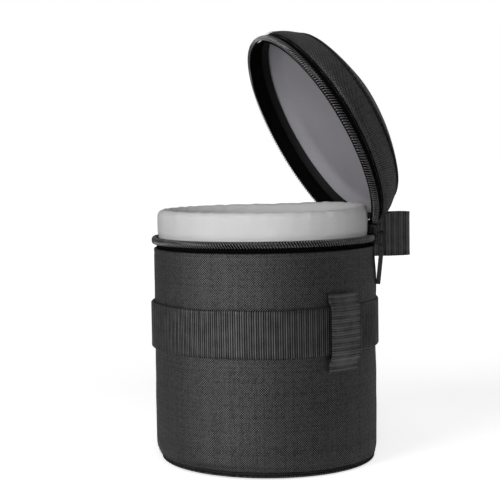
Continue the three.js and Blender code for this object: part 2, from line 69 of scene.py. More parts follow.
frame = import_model()
nodes = frame["nodes"]
joints = {joint["name"]: joint for joint in frame["joints"]}

hinge = Vector(joints["lid_hinge"]["pos_m"])
lid_opening = math.radians(-joints["lid_hinge"]["range_deg"][0])


def about_hinge(angle):
    """A turn about the lid's hinge. A negative angle opens the lid."""
    return Matrix.Translation(hinge) @ Matrix.Rotation(angle, 4, "X") @ Matrix.Translation(-hinge)


open_lid = about_hinge(-lid_opening)
shut_lid = open_lid.inverted()


class Round:
    """Radii and heights of a round CAD node, in metres. A lid node is measured shut."""

    def __init__(self, node):
        turn = shut_lid if node.startswith("lid_") else Matrix.Identity(4)
        points = [turn @ vertex.co for vertex in nodes[node].data.vertices]
        radii = [math.hypot(point.x, point.y) for point in points]
        self.inside, self.outside = min(radii), max(radii)
        self.bottom = min(point.z for point in points)
        self.top = max(point.z for point in points)


shell = Round("outer_shell")
binding = Round("base_binding")
sleeve = Round("lining_sleeve")
lining_floor = Round("lining_floor")
band = Round("webbing_band")
tape = Round("body_zip_tape")
coil = Round("body_zip_coil")
lid_wall = Round("lid_sidewall")
lid_panel = Round("lid_top_panel")
lid_ceiling = Round("lid_ceiling_lining")
lid_tape = Round("lid_zip_tape")
lid_coil = Round("lid_zip_coil")


# Numbers and places

def clamped(value):
    return min(1, max(0, value))


def ease(share):
    """A smooth rise from 0 to 1."""
    return share * share * (3 - 2 * share)


def between(low, high, value):
    """0 below low, 1 above high, and a smooth rise from one to the other."""
    return ease(clamped((value - low) / (high - low)))


def steps_between(low, high, count):
    return [low + (high - low) * i / count for i in range(count + 1)]


def azimuth_of(point):
    return math.degrees(math.atan2(point.x, point.y))


def at(azimuth, radius, height):
    turn = math.radians(azimuth)
    return Vector((radius * math.sin(turn), radius * math.cos(turn), height))


SOFT_SPAN = 60 * MM


def soft(azimuth, height, size, seed):
    """Slow unevenness between -1 and 1, for cloth that isn't quite round."""
    turn = math.radians(azimuth)
    spot = Vector((math.sin(turn), math.cos(turn), height / SOFT_SPAN)) * size
    return noise.noise(spot + Vector((seed, 0, 0)))


def ripple(azimuth, radius, size, seed):
    """Slow unevenness between -1 and 1 over a disc of cloth."""
    spot = at(azimuth, radius, 0) * (size / SOFT_SPAN)
    return noise.noise(spot + Vector((seed, 0, 0)))


# Profiles, as points of a radius and a height

def upright(radius, low, high, count):
    return [(radius, height) for height in steps_between(low, high, count)]


def folds(radius, height, places):
    """Points given in millimetres: how far in from a radius, and how far above a height."""
    return [(radius - inset * MM, height + rise * MM) for inset, rise in places]


def arc(centre, reach, turns):
    """Points on an ellipse. Its turns, in degrees, are counted from straight outward."""
    return [
        (centre[0] + reach[0] * math.cos(math.radians(turn)),
         centre[1] + reach[1] * math.sin(math.radians(turn)))
        for turn in turns
    ]


def dome(edge, base, rise, shares):
    """Points over a dome, at these shares of its edge's radius."""
    return [(edge * share, base + rise * (1 - share ** 2)) for share in shares]


def lengths_along(points):
    """How far along a path each of its points lies."""
    lengths = [0.0]
    for (x, y), (next_x, next_y) in zip(points, points[1:]):
        lengths.append(lengths[-1] + math.hypot(next_x - x, next_y - y))
    return lengths


# Modelling

WELD = 0.001 * MM


def only(piece):
    """Selects one piece, and nothing else."""
    bpy.ops.object.select_all(action="DESELECT")
    piece.select_set(True)
    bpy.context.view_layer.objects.active = piece


def named(name):
    """Names the piece that was made last."""
    piece = bpy.context.object
    piece.name = piece.data.name = name
    return piece


def placed(name, data):
    """A new object in the scene, at the origin."""
    thing = bpy.data.objects.new(name, data)
    bpy.context.scene.collection.objects.link(thing)
    return thing


def finish_faces(weld=True):
    """Welds the last piece where it meets itself, and turns its faces outward."""
    bpy.ops.object.mode_set(mode="EDIT")
    bpy.ops.mesh.select_all(action="SELECT")
    if weld:
        bpy.ops.mesh.remove_doubles(threshold=WELD)
    bpy.ops.mesh.normals_make_consistent(inside=False)
    bpy.ops.object.mode_set(mode="OBJECT")


def unroll(piece, profile):
    """A UV map in metres: round the piece, and along its profile."""
    mesh = piece.data
    lengths = lengths_along(profile)
    girth = max(radius for radius, _ in profile)
    along = []
    for vertex in mesh.vertices:
        radius, height = math.hypot(vertex.co.x, vertex.co.y), vertex.co.z
        nearest = min(
            range(len(profile)),
            key=lambda i: (profile[i][0] - radius) ** 2 + (profile[i][1] - height) ** 2,
        )
        along.append(lengths[nearest])
    layer = mesh.uv_layers.new(name="cloth")
    for face in mesh.polygons:
        turns = [azimuth_of(mesh.vertices[v].co) for v in face.vertices]
        if max(turns) - min(turns) > 180:
            turns = [turn + 360 if turn < 0 else turn for turn in turns]
        for loop, v, turn in zip(face.loop_indices, face.vertices, turns):
            layer.data[loop].uv = (math.radians(turn) * girth, along[v])


def lay_flat(piece, cut=lambda place: place.xy):
    """A UV map in metres for cloth that was cut flat: straight down, or as cut says."""
    layer = piece.data.uv_layers.active
    for face in piece.data.polygons:
        for loop, v in zip(face.loop_indices, face.vertices):
            layer.data[loop].uv = cut(piece.data.vertices[v].co)


def turned(name, profile, sides):
    """A skin turned round the upright axis. A circle is pulled from point to point of the
    profile. A profile that starts or ends on the axis closes there."""
    starts_on_axis = profile[0][0] == 0
    path = profile[1:] if starts_on_axis else profile
    (radius, height), *rest = path
    fill = "TRIFAN" if starts_on_axis else "NOTHING"
    bpy.ops.mesh.primitive_circle_add(
        vertices=sides, radius=radius, fill_type=fill, location=(0, 0, height), calc_uvs=False
    )
    piece = named(name)
    bpy.ops.object.transform_apply(location=True)
    bpy.ops.object.mode_set(mode="EDIT")
    bpy.ops.mesh.select_all(action="SELECT")
    if starts_on_axis:
        bpy.ops.mesh.region_to_loop()
    for next_radius, next_height in rest:
        bpy.ops.mesh.extrude_region_move(
            TRANSFORM_OT_translate={"value": (0, 0, next_height - height)}
        )
        if next_radius == 0:
            bpy.ops.mesh.merge(type="CENTER")
            break
        scale = next_radius / radius
        bpy.ops.transform.resize(value=(scale, scale, 1), center_override=(0, 0, next_height))
        radius, height = next_radius, next_height
    bpy.ops.object.mode_set(mode="OBJECT")
    unroll(piece, profile)
    finish_faces()
    return piece


def arched(name, section, start, end, steps):
    """Part of a turn: a closed section of [radius, height] points, swept between two azimuths."""
    bpy.ops.mesh.primitive_circle_add(
        vertices=len(section), radius=MM, fill_type="NGON", calc_uvs=False
    )
    piece = named(name)
    for vertex, (radius, height) in zip(piece.data.vertices, section):
        vertex.co = at(start, radius, height)
    bpy.ops.object.mode_set(mode="EDIT")
    bpy.ops.mesh.select_all(action="SELECT")
    bpy.ops.mesh.spin(
        steps=steps, angle=math.radians(end - start), center=(0, 0, 0), axis=(0, 0, 1)
    )
    bpy.ops.object.mode_set(mode="OBJECT")
    finish_faces()
    unroll(piece, section)
    return piece


def reshape(piece, shape):
    """Moves each vertex: shape takes and gives an azimuth, a radius and a height."""
    for vertex in piece.data.vertices:
        radius = math.hypot(vertex.co.x, vertex.co.y)
        vertex.co = at(*shape(azimuth_of(vertex.co), radius, vertex.co.z))


def smooth(piece, angle=50):
    only(piece)
    bpy.ops.object.shade_smooth_by_angle(angle=math.radians(angle))
    return piece


def opened(piece):
    """Turns a lid piece that was modelled shut about the hinge, and applies the turn."""
    only(piece)
    piece.matrix_world = open_lid
    bpy.ops.object.transform_apply(location=True, rotation=True, scale=True)
    return piece


def made_of(piece, material):
    piece.data.materials.clear()
    piece.data.materials.append(material)


def dressed(piece, material, body, slot, *replaced):
    """Gives a finished piece its material, the body it rides on and the nodes it stands for."""
    made_of(piece, material)
    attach(piece, body)
    if replaced:
        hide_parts(*replaced)


# Ribs of the webbing

RIB_PITCH = 1.27 * MM
RIB_DEPTH = 0.3 * MM
FACES_PER_RIB = 4
SQUARE_EDGE = 12


def note_ribs(piece, rib_at):
    """Keeps a share from 0, in a groove, to 1, on a rib, at every point of the webbing. The
    webbing's material paints shade into the grooves from it.
    """
    ribs = piece.data.attributes.new("rib", "FLOAT", "POINT")
    for vertex, value in zip(piece.data.vertices, ribs.data):
        value.value = rib_at(vertex.co)


def rib_share(turns):
    """From 0 in a groove to 1 on a rib, by how many ribs lie before. No two are quite alike."""
    return (0.5 + 0.5 * math.cos(math.tau * turns)) * (0.8 + 0.2 * math.sin(turns * 2.4))


def strip(name, path, width, ribs, rib_depth, thick, columns):
    """Webbing laid along a path, which gives a point, its outward and width directions, and
    the path's length. The ribs run across it, and the cloth's thickness goes inwards."""
    bpy.ops.mesh.primitive_grid_add(
        x_subdivisions=columns, y_subdivisions=ribs * FACES_PER_RIB, size=1
    )
    piece = named(name)
    length = path(1.0)[3]
    lay_flat(piece, lambda place: ((place.x + 0.5) * width, (place.y + 0.5) * length))
    note_ribs(piece, lambda place: rib_share((place.y + 0.5) * ribs))
    for vertex in piece.data.vertices:
        across, share = vertex.co.x, vertex.co.y + 0.5
        point, outward, sideways, _ = path(share)
        rib = rib_depth * (rib_share(share * ribs) - 1)
        edge = 1 - (2 * abs(across)) ** SQUARE_EDGE
        vertex.co = point + sideways * (across * width) + outward * (rib * edge)
    only(piece)
    solidify = piece.modifiers.new("cloth", "SOLIDIFY")
    solidify.thickness = thick
    solidify.offset = -1
    bpy.ops.object.modifier_apply(modifier=solidify.name)
    finish_faces(weld=False)
    return piece


# Shader nodes

def blank_material(name):
    material = bpy.data.materials.new(name)
    material.use_nodes = True
    shader = material.node_tree.nodes["Principled BSDF"]
    return material, material.node_tree, shader


def math_node(tree, operation, first, second=None):
    node = tree.nodes.new("ShaderNodeMath")
    node.operation = operation
    for socket, value in zip(node.inputs, (first, second)):
        if value is None:
            continue
        if isinstance(value, (int, float)):
            socket.default_value = value
        else:
            tree.links.new(value, socket)
    return node.outputs[0]


def plus(tree, first, second):
    return math_node(tree, "ADD", first, second)


def times(tree, first, second):
    return math_node(tree, "MULTIPLY", first, second)


def mapped(tree, value, source, target):
    """Maps a value from one span to another, and holds it at the ends."""
    span = tree.nodes.new("ShaderNodeMapRange")
    for side, number in zip(("From Min", "From Max", "To Min", "To Max"), (*source, *target)):
        span.inputs[side].default_value = number
    tree.links.new(value, span.inputs["Value"])
    return span.outputs[0]


def random_tone(tree, *values):
    """A random value between 0 and 1 for every whole step of the values."""
    steps = tree.nodes.new("ShaderNodeCombineXYZ")
    for socket, value in zip(steps.inputs, values):
        tree.links.new(value, socket)
    texture = tree.nodes.new("ShaderNodeTexWhiteNoise")
    texture.noise_dimensions = "3D"
    tree.links.new(steps.outputs[0], texture.inputs["Vector"])
    return texture.outputs["Value"]


def colour_ramp(tree, value, low, high):
    """A colour between two stops, each a position and a colour."""
    ramp = tree.nodes.new("ShaderNodeValToRGB")
    for element, (position, colour) in zip(ramp.color_ramp.elements, (low, high)):
        element.position = position
        element.color = (*colour, 1)
    tree.links.new(value, ramp.inputs[0])
    return ramp.outputs[0]


def noise_value(tree, scale, detail=3):
    coordinates = tree.nodes.new("ShaderNodeTexCoord")
    texture = tree.nodes.new("ShaderNodeTexNoise")
    texture.inputs["Scale"].default_value = scale
    texture.inputs["Detail"].default_value = detail
    tree.links.new(coordinates.outputs["Object"], texture.inputs["Vector"])
    return texture.outputs["Fac"]


def bump_from(tree, shader, heights):
    """Bump from several heights, each with its depth in metres."""
    before = None
    for height, depth in heights:
        bump = tree.nodes.new("ShaderNodeBump")
        bump.inputs["Distance"].default_value = depth
        tree.links.new(height, bump.inputs["Height"])
        if before:
            tree.links.new(before, bump.inputs["Normal"])
        before = bump.outputs[0]
    tree.links.new(before, shader.inputs["Normal"])


def grey(value):
    return (value,) * 3


def patchy(tree, shader, yarn, scale, faintest):
    """The yarns' colour, a little darker in slow patches over the panel."""
    patch = colour_ramp(tree, noise_value(tree, scale), (0.3, grey(faintest)), (0.7, grey(1.0)))
    mix = tree.nodes.new("ShaderNodeMix")
    mix.data_type = "RGBA"
    mix.blend_type = "MULTIPLY"
    mix.inputs["Factor"].default_value = 1
    tree.links.new(yarn, mix.inputs["A"])
    tree.links.new(patch, mix.inputs["B"])
    tree.links.new(mix.outputs["Result"], shader.inputs["Base Color"])


# Cloth, nylon and metal

UNDER_YARN_HEIGHT = 0.35
# Painted shade: yarns that pass under are drawn far darker than those that pass over.
UNDER_YARN_SHADE = 0.12
EVEN_TONE = 0.3
YARN_SPREAD = 0.12
CROSSING_SPREAD = 0.3
# Painted highlight and shade: each yarn is drawn lighter on its crown and darker on its flanks.
CROWN_SHADE = 0.6
# Painted shade: the gaps between yarns and the webbing's grooves are drawn black.
GAP_SHADE_BLACK = grey(0.001)
CROWN_IOR = 1.85


def weave(tree, pitch):
    """Plain weave on the piece's own UV map: its height, and its tone from 0 to 1. Yarns of one
    pitch pass over and under, and no two yarns or crossings are quite as pale. The tone holds
    painted shade too: yarns that pass under are far darker, and each yarn is painted lighter on
    its crown and darker on its flanks."""
    coordinates = tree.nodes.new("ShaderNodeTexCoord")
    split = tree.nodes.new("ShaderNodeSeparateXYZ")
    tree.links.new(coordinates.outputs["UV"], split.inputs[0])
    crowns, steps = [], []
    for value in split.outputs[:2]:
        along = math_node(tree, "DIVIDE", value, pitch)
        turn = times(tree, along, math.pi)
        crowns.append(math_node(tree, "ABSOLUTE", math_node(tree, "SINE", turn)))
        steps.append(math_node(tree, "FLOOR", along))
    is_over = math_node(tree, "PINGPONG", plus(tree, *steps), 1)
    bulge = times(tree, *crowns)
    height = times(tree, bulge, plus(tree, is_over, UNDER_YARN_HEIGHT))
    other_way = plus(tree, steps[1], 0.5)
    yarns = plus(tree, random_tone(tree, steps[0]), random_tone(tree, other_way))
    crossing = random_tone(tree, *steps)
    uneven = plus(tree, times(tree, yarns, YARN_SPREAD), times(tree, crossing, CROSSING_SPREAD))
    uneven = plus(tree, uneven, EVEN_TONE)
    # Painted shade on the under yarns, times the random tone of yarns and crossings.
    under_shade_and_tone = times(tree, plus(tree, is_over, UNDER_YARN_SHADE), uneven)
    # Painted highlight on each yarn's crown, painted shade on its flanks.
    crown_light_flank_shade = plus(tree, times(tree, bulge, CROWN_SHADE), 1 - CROWN_SHADE)
    return height, times(tree, under_shade_and_tone, crown_light_flank_shade)


def crowns_shine(tree, shader, tone, roughness, specular):
    """Worn crowns of the yarns are smoother and glossier than the gaps between them."""
    span = (min(1, roughness + 0.35), roughness - 0.08)
    tree.links.new(mapped(tree, tone, (0, 0.7), span), shader.inputs["Roughness"])
    gloss = mapped(tree, tone, (0.05, 0.55), (0.1 * specular, specular))
    shader.inputs["IOR"].default_value = CROWN_IOR
    shader.inputs["Specular IOR Level"].default_value = specular
    tree.links.new(gloss, shader.inputs["Specular IOR Level"])


def woven_cloth(name, light, pitch, roughness, specular):
    """Coarse yarns with a painted highlight on their crowns and painted shade between them, and
    slow changes of tone over the panel.
    """
    material, tree, shader = blank_material(name)
    depth = 0.08 * MM
    height, tone = weave(tree, pitch)
    # Painted shade: the tone's low end, in the gaps and on the under yarns, is drawn black.
    yarn = colour_ramp(tree, tone, (0.02, GAP_SHADE_BLACK), (0.8, light))
    patchy(tree, shader, yarn, scale=45, faintest=0.8)
    fuzz = noise_value(tree, 2600, detail=2)
    bump_from(tree, shader, [(height, depth), (fuzz, 0.3 * depth)])
    crowns_shine(tree, shader, tone, roughness, specular)
    return material


def ribbed_cloth(name, light, roughness, specular):
    """Webbing: ribs with a painted highlight and grooves with painted shade, from the ribs kept on
    the mesh, in fine yarns.
    """
    material, tree, shader = blank_material(name)
    ribs = tree.nodes.new("ShaderNodeAttribute")
    ribs.attribute_name = "rib"
    height, tone = weave(tree, 0.5 * MM)
    yarns = plus(tree, times(tree, tone, 0.7), 0.6)
    # Painted shade: the grooves, by the rib share kept on the mesh, are darkened toward black.
    shade = times(tree, yarns, ribs.outputs["Fac"])
    # Painted groove shade, times slow random patches.
    groove_shade_and_patches = times(tree, shade, plus(tree, noise_value(tree, 160), 0.5))
    colour = colour_ramp(tree, groove_shade_and_patches, (0.25, GAP_SHADE_BLACK), (0.9, light))
    tree.links.new(colour, shader.inputs["Base Color"])
    bump_from(tree, shader, [(height, 0.05 * MM)])
    crowns_shine(tree, shader, groove_shade_and_patches, roughness, specular)
    return material


def lining_cloth(name, dark, light):
    """Smooth close cloth, with faint creases where it is stretched over the padding."""
    material, tree, shader = blank_material(name)
    height, tone = weave(tree, 0.3 * MM)
    # The darker stop is painted shade between and under the fine yarns, from the weave's tone.
    yarn = colour_ramp(tree, tone, (0.1, dark), (0.6, light))
    patchy(tree, shader, yarn, scale=30, faintest=0.93)
    bump_from(tree, shader, [(height, 0.03 * MM), (noise_value(tree, 110), 0.5 * MM)])
    shader.inputs["Roughness"].default_value = 0.62
    return material


def grained(name, colour, scale, detail, stops, darkest, depth, roughness):
    """A plain stuff with a fine grain, in its colour and in its surface."""
    material, tree, shader = blank_material(name)
    grain = noise_value(tree, scale, detail)
    dark = tuple(darkest * channel for channel in colour)
    tone = colour_ramp(tree, grain, (stops[0], dark), (stops[1], colour))
    tree.links.new(tone, shader.inputs["Base Color"])
    bump_from(tree, shader, [(grain, depth)])
    shader.inputs["Roughness"].default_value = roughness
    return material, shader


def satin_nylon(name, colour, roughness, specular=0.5, ior=None):
    material, shader = grained(
        name, colour, scale=900, detail=2, stops=(0.3, 0.7), darkest=0.8, depth=0.03 * MM,
        roughness=roughness,
    )
    shader.inputs["Specular IOR Level"].default_value = specular
    if ior:
        shader.inputs["IOR"].default_value = ior
    return material


def worn_metal(name, colour, roughness):
    material, shader = grained(
        name, colour, scale=1400, detail=3, stops=(0.35, 0.65), darkest=0.6, depth=0.02 * MM,
        roughness=roughness,
    )
    shader.inputs["Metallic"].default_value = 1
    return material


ballistic = woven_cloth(
    "ballistic_nylon", (0.026, 0.026, 0.0255), pitch=0.64 * MM, roughness=0.38, specular=1.0
)
ribbed_webbing = ribbed_cloth(
    "ribbed_webbing", (0.036, 0.036, 0.033), roughness=0.44, specular=0.75
)
binding_cloth = woven_cloth(
    "binding_cloth", grey(0.03), pitch=0.5 * MM, roughness=0.55, specular=0.4
)
tape_cloth = woven_cloth("zip_tape", grey(0.006), pitch=0.45 * MM, roughness=0.7, specular=0.04)
pale_lining = lining_cloth("pale_lining", dark=(0.6, 0.595, 0.6), light=(0.7, 0.695, 0.7))
grey_lining = lining_cloth("grey_lining", dark=(0.31, 0.3, 0.325), light=(0.4, 0.39, 0.415))
# Partly the binding's own black, partly painted shade inside the lid's wall.
binding_with_painted_shade = satin_nylon("binding_with_painted_shade", grey(0.008), roughness=0.6, specular=0.15)
coil_nylon = satin_nylon("coil_nylon", grey(0.014), roughness=0.26, specular=1.0, ior=1.8)
thread_nylon = satin_nylon("sewing_thread", (0.05, 0.05, 0.049), roughness=0.5)
pull_rubber = satin_nylon("pull_rubber", grey(0.02), roughness=0.4)
gunmetal = worn_metal("gunmetal", (0.05, 0.05, 0.054), roughness=0.28)


# Outer wall and base

WALL_SIDES = 216
SOFT_WALL = 0.55 * MM
STITCH_BELOW_HEM = 2.6 * MM
FOOT_DROP = 4.4 * MM
WALL_FOOT = shell.bottom - FOOT_DROP
SLIDER_SIDE = 18

# Folds of the cloth, in millimetres in from the wall's outside and up from the named edge
FOOT_FOLD = [(0.75, 0.15), (0.45, 0.9)]
FOOT_SEAM = [(0.4, -0.5), (0.5, 0), (0.2, 0.6)]
HEM_SEAM = [(0.25, 0), (0, 0.8)]
HEM_FOLD = [(-0.1, -0.7), (0.15, -0.15), (0.6, 0)]

PANEL_EDGE = 4 * MM
PANEL_RISE = 1.6 * MM
PANEL_THICK = 1.2 * MM
PANEL_HEM = [(2, 0), (5, -0.4)]
BINDING_DROP = 2.9 * MM
BINDING_FLATNESS = 3.4


def hinge_side(azimuth):
    """1 on the side beside the parked slider, and 0 on the opposite side."""
    return 0.5 + 0.5 * math.cos(math.radians(azimuth - SLIDER_SIDE))


def wall_softness(azimuth, height):
    """How far the wall stands out from a true cylinder."""
    up = clamped((height - WALL_FOOT) / (shell.top - WALL_FOOT))
    held = math.sin(math.pi * up) ** 0.5
    uneven = soft(azimuth, height, size=1.6, seed=3)
    uneven += 0.5 * soft(azimuth, height, size=4.2, seed=11)
    near = hinge_side(azimuth) ** 2
    shoulder = between(70 * MM, 98 * MM, height) * (1 - between(100 * MM, 116 * MM, height))
    belly = 1 - between(20 * MM, 60 * MM, height)
    full = near * (0.45 + 0.8 * shoulder) + (1 - near) * 0.5 * belly
    return SOFT_WALL * held * uneven + full * MM


def foot_tuck(azimuth, height):
    """How far the wall's foot is drawn in. It is rounder on the side away from the hinge."""
    low = clamped(1 - (height - WALL_FOOT) / (9 * MM))
    return (0.3 + 1.6 * (1 - hinge_side(azimuth))) * MM * low ** 2


def foot_rise(azimuth):
    """The base's edge curls up a little on the side away from the hinge."""
    return 1.3 * MM * (1 - hinge_side(azimuth))


def outer_wall():
    outside, inside = shell.outside, shell.inside
    stitch = shell.top - STITCH_BELOW_HEM
    foot = WALL_FOOT + STITCH_BELOW_HEM
    under = outside - 1.1 * (outside - inside)
    profile = [(inside, WALL_FOOT), (under, WALL_FOOT - 0.1 * MM)]
    profile += folds(outside, WALL_FOOT, FOOT_FOLD) + folds(outside, foot, FOOT_SEAM)
    profile += upright(outside, foot + 2 * MM, stitch - 1.2 * MM, 40)
    profile += folds(outside, stitch, HEM_SEAM) + folds(outside, shell.top, HEM_FOLD)
    profile += [(inside, shell.top - 0.3 * MM), (inside, shell.top - 4 * MM), (inside, WALL_FOOT)]
    wall = turned("outer_wall", profile, WALL_SIDES)
    reshape(wall, lambda azimuth, radius, height: (
        azimuth,
        radius + wall_softness(azimuth, height) - foot_tuck(azimuth, height),
        height + foot_rise(azimuth) * max(0, 1 - (height - WALL_FOOT) / (8 * MM)),
    ))
    smooth(wall)
    dressed(wall, ballistic, "body", "woven_cloth", "outer_shell", "wall_foam")


def base_panel():
    outside = Round("base_panel").outside
    flat = outside - PANEL_EDGE
    profile = [(0, 0), (flat * 0.5, 0), (flat, 0)]
    profile += arc((flat, PANEL_RISE), (PANEL_EDGE, PANEL_RISE), range(-75, 1, 15))
    profile += folds(outside, PANEL_RISE, PANEL_HEM)
    profile += [(flat * 0.5, PANEL_THICK), (0, PANEL_THICK)]
    panel = turned("base_panel_cloth", profile, WALL_SIDES)
    lay_flat(panel)
    reshape(panel, lambda azimuth, radius, height: (
        azimuth,
        radius - foot_tuck(azimuth, height) * (radius / outside) ** 8,
        height + foot_rise(azimuth) * between(36 * MM, 58 * MM, radius),
    ))
    dressed(smooth(panel), ballistic, "body", "woven_cloth", "base_panel", "base_foam")


def base_binding():
    """A rolled binding over the base seam, slightly uneven where it was turned by hand."""
    middle = (binding.bottom + binding.top) / 2 - BINDING_DROP
    reach = (binding.outside - binding.inside) / 2
    half = (binding.top - binding.bottom) / BINDING_FLATNESS
    profile = arc((binding.outside - reach, middle), (reach, half), range(-180, 181, 20))
    roll = turned("base_binding_roll", profile, WALL_SIDES)
    reshape(roll, lambda azimuth, radius, height: (
        azimuth,
        radius + 0.25 * MM * soft(azimuth, height, size=9, seed=5) - foot_tuck(azimuth, height),
        height + foot_rise(azimuth) + 0.2 * MM * soft(azimuth, 0, size=5, seed=9),
    ))
    dressed(smooth(roll, 70), binding_cloth, "body", "webbing", "base_binding")


# Lining and collar

LINING_SIDES = 288
BACK_SPREAD = 46
PUCKER_DEPTH = 0.45 * MM
PUCKER_SWELL = 0.35 * MM
COLLAR_BULGE = 2.0 * MM
COLLAR_CREST = 3.8 * MM
COLLAR_BACK_RISE = 1.4 * MM
COLLAR_BACK_INSET = 0.6 * MM


def back_share(azimuth):
    """1 at the hinge, falling to 0 where the lid's wall is round again."""
    away = min(abs(azimuth), BACK_SPREAD)
    return (1 + math.cos(math.pi * away / BACK_SPREAD)) / 2


def pucker(azimuth):
    """About -0.5 to 0.5: the gathers that the collar's seam pulls into the cloth."""
    turn = math.radians(azimuth)
    waves = math.sin(29 * turn + 2.5 * math.sin(3 * turn)) + 0.6 * math.sin(47 * turn + 1.3)
    return 0.3 * waves


def padded_lining():
    """One skin: over the floor, up the inside, over the collar and down behind the zip."""
    inner, outer = sleeve.inside, sleeve.outside
    wide = outer + COLLAR_BULGE
    floor = lining_floor.top
    middle, half = (inner + wide) / 2, (wide - inner) / 2
    shoulder = sleeve.top - COLLAR_CREST
    waist = tape.top + 0.5 * MM
    behind_tape = tape.inside - 0.2 * MM
    collar_foot = tape.bottom + 0.2 * MM
    under = inner + 1.2 * MM
    profile = [(0, floor), (inner * 0.5, floor)]
    profile += folds(inner, floor, [(3, 0), (1, 0.5), (0, 2.5)])
    profile += upright(inner, floor + 6 * MM, shoulder - 2 * MM, 30)
    profile += arc((middle, shoulder), (-half, COLLAR_CREST), range(0, 181, 12))
    profile += upright(wide, shoulder - MM, waist + 1.6 * MM, 5)
    profile += [(wide - 0.3 * MM, waist + 0.7 * MM), (behind_tape, waist)]
    profile += upright(behind_tape, waist - 1.5 * MM, collar_foot, 4)
    profile += [(under, collar_foot), (under, sleeve.bottom)]
    profile += [(inner * 0.5, lining_floor.bottom), (0, lining_floor.bottom)]
    lining = turned("padded_lining", profile, LINING_SIDES)
    knee = shoulder - 10 * MM

    def gather(azimuth, radius, height):
        lift = clamped((height - knee) / (sleeve.top - knee))
        fold = pucker(azimuth)
        side = 1 if radius > middle else -1
        if radius > outer:
            radius = outer + (radius - outer) * (1 - 0.9 * back_share(azimuth))
        if side > 0 and height > waist + 2 * MM:
            radius -= COLLAR_BACK_INSET * back_share(azimuth)
        radius += side * PUCKER_SWELL * fold * lift
        held = between(waist, waist + 4 * MM, height) if side > 0 else height > floor + MM
        radius += 0.5 * MM * soft(azimuth, height, size=2.2, seed=7) * held
        height -= PUCKER_DEPTH * (0.5 - fold) * lift ** 3
        height += COLLAR_BACK_RISE * lift * between(70, 20, abs(azimuth))
        return azimuth, radius, height

    reshape(lining, gather)
    smooth(lining, 60)
    dressed(
        lining, pale_lining, "body", "pale_lining", "lining_sleeve", "lining_floor", "collar_foam"
    )


# Zip chain

COIL_PITCH = 1.58 * MM
COIL_WIRE = 0.3 * MM
COIL_STEPS = 12
COIL_SLANT = 0.8
COIL_HEAD = 0.15
TAPE_STEPS = 200
TAPE_SEWN_IN = 2 * MM

# Azimuths where the tapes and coils start, on either side of the hinge
BODY_TAPE_START = 15
BODY_COIL_START = 19
LID_TAPE_START = 20
LID_COIL_START = 30


def zip_tape(name, part, start, sewn_in=0):
    """The woven tape. Its plain edge goes a little way under the cloth that it is sewn to."""
    inside, outside = (part.inside + part.outside) / 2, part.outside
    low, high = part.bottom, part.top + sewn_in
    section = [(inside, low), (outside, low), (outside, high), (inside, high)]
    return smooth(arched(name, section, start, 360 - start, TAPE_STEPS), 40)


def zip_coil(name, part, start, flip):
    """One unbroken nylon wire, wound flat: its legs slant on the outside, and its heads stand
    at the edge that meshes."""
    middle_height = (part.bottom + part.top) / 2
    middle_radius = (part.inside + part.outside) / 2
    rise = (part.top - part.bottom) / 2 - COIL_WIRE
    reach = (part.outside - part.inside) / 2 - COIL_WIRE
    sweep = 360 - 2 * start
    turns = int(math.radians(sweep) * middle_radius / COIL_PITCH)
    curve = bpy.data.curves.new(name, "CURVE")
    curve.dimensions = "3D"
    spline = curve.splines.new("POLY")
    count = turns * COIL_STEPS
    spline.points.add(count)
    for i in range(count + 1):
        wind = math.tau * i / COIL_STEPS
        azimuth = start + sweep * (i / COIL_STEPS + COIL_SLANT * math.cos(wind)) / turns
        height = middle_height + flip * rise * math.cos(wind)
        radius = middle_radius + reach * math.sin(wind)
        spline.points[i].co = (*at(azimuth, radius, height), 1)
        spline.points[i].radius = 1 + COIL_HEAD * max(0.0, math.cos(wind)) ** 4
    curve.bevel_depth = COIL_WIRE
    curve.bevel_resolution = 1
    curve.use_fill_caps = True
    only(placed(name, curve))
    bpy.ops.object.convert(target="MESH")
    return smooth(named(name), 80)


def zip_chain():
    body_tape = zip_tape("body_tape", tape, BODY_TAPE_START)
    dressed(body_tape, tape_cloth, "body", "zip_cloth", "body_zip_tape")
    body_coil = zip_coil("body_coil", coil, BODY_COIL_START, 1)
    dressed(body_coil, coil_nylon, "body", "zip_nylon", "body_zip_coil")
    upper_tape = opened(zip_tape("lid_tape", lid_tape, LID_TAPE_START, TAPE_SEWN_IN))
    dressed(upper_tape, tape_cloth, "lid", "zip_cloth", "lid_zip_tape")
    upper_coil = opened(zip_coil("lid_coil", lid_coil, LID_COIL_START, -1))
    dressed(upper_coil, coil_nylon, "lid", "zip_nylon", "lid_zip_coil")


# Webbing

BAND_EDGE = 0.5 * MM
TAB_WIDTH = 20 * MM
TAB_CLOTH = 1.4 * MM
TAB_SEAM = 5 * MM
TAB_SOFTENING = (-0.03, -0.015, 0, 0.015, 0.03)
LOOP_CLOTH = 1.5 * MM
LOOP_RIB_PITCH = 1.5 * MM
LOOP_RIB_DEPTH = 0.35 * MM
LOOP_SEAM = 6 * MM
LOOP_ROOT_DROP = 8 * MM
LOOP_SHOULDER = 15.7 * MM
HEADING_STEP = 0.004


